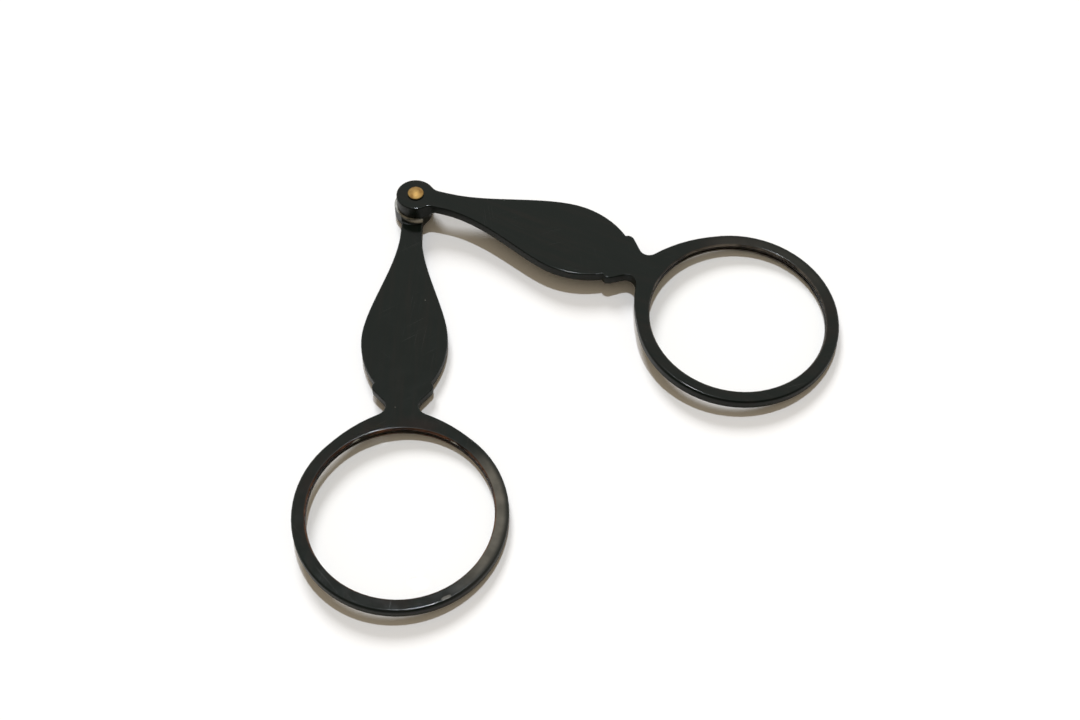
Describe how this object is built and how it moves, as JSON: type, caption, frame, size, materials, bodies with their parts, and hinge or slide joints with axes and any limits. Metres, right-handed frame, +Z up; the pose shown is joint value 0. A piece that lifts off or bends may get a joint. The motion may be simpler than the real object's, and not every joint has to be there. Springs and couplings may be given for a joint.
{
  "type": "scissors spectacles",
  "caption": "Folding scissors spectacles: flat dark horn arms with round rims, clear glass lenses and leaf-shaped handles, lapped and riveted so that they swing open and shut.",
  "frame": {"origin": "middle of the open pair seen from above, on the flat underside of the lower arm", "axes": "+Z up along the rivet, +X across the open pair from the lower arm's rim to the upper arm's rim, +Y from the rims to the rivet"},
  "size_m": [0.126, 0.0906, 0.0077],
  "materials": {
    "horn": "worn polish",
    "lens": "polished",
    "rivet": "worn"
  },
  "bodies": {
    "lower": {"lower_arm": "horn", "lower_lens": "lens", "pivot_rivet": "rivet"},
    "upper": {"upper_arm": "horn", "upper_lens": "lens"}
  },
  "joints": [
    {"name": "arm_swing", "type": "hinge", "parent": "lower", "child": "upper", "pos_m": [0, 0.04071, 0.0035], "axis": [0, 0, 1], "range_deg": [-65.5, 114.5]}
  ]
}
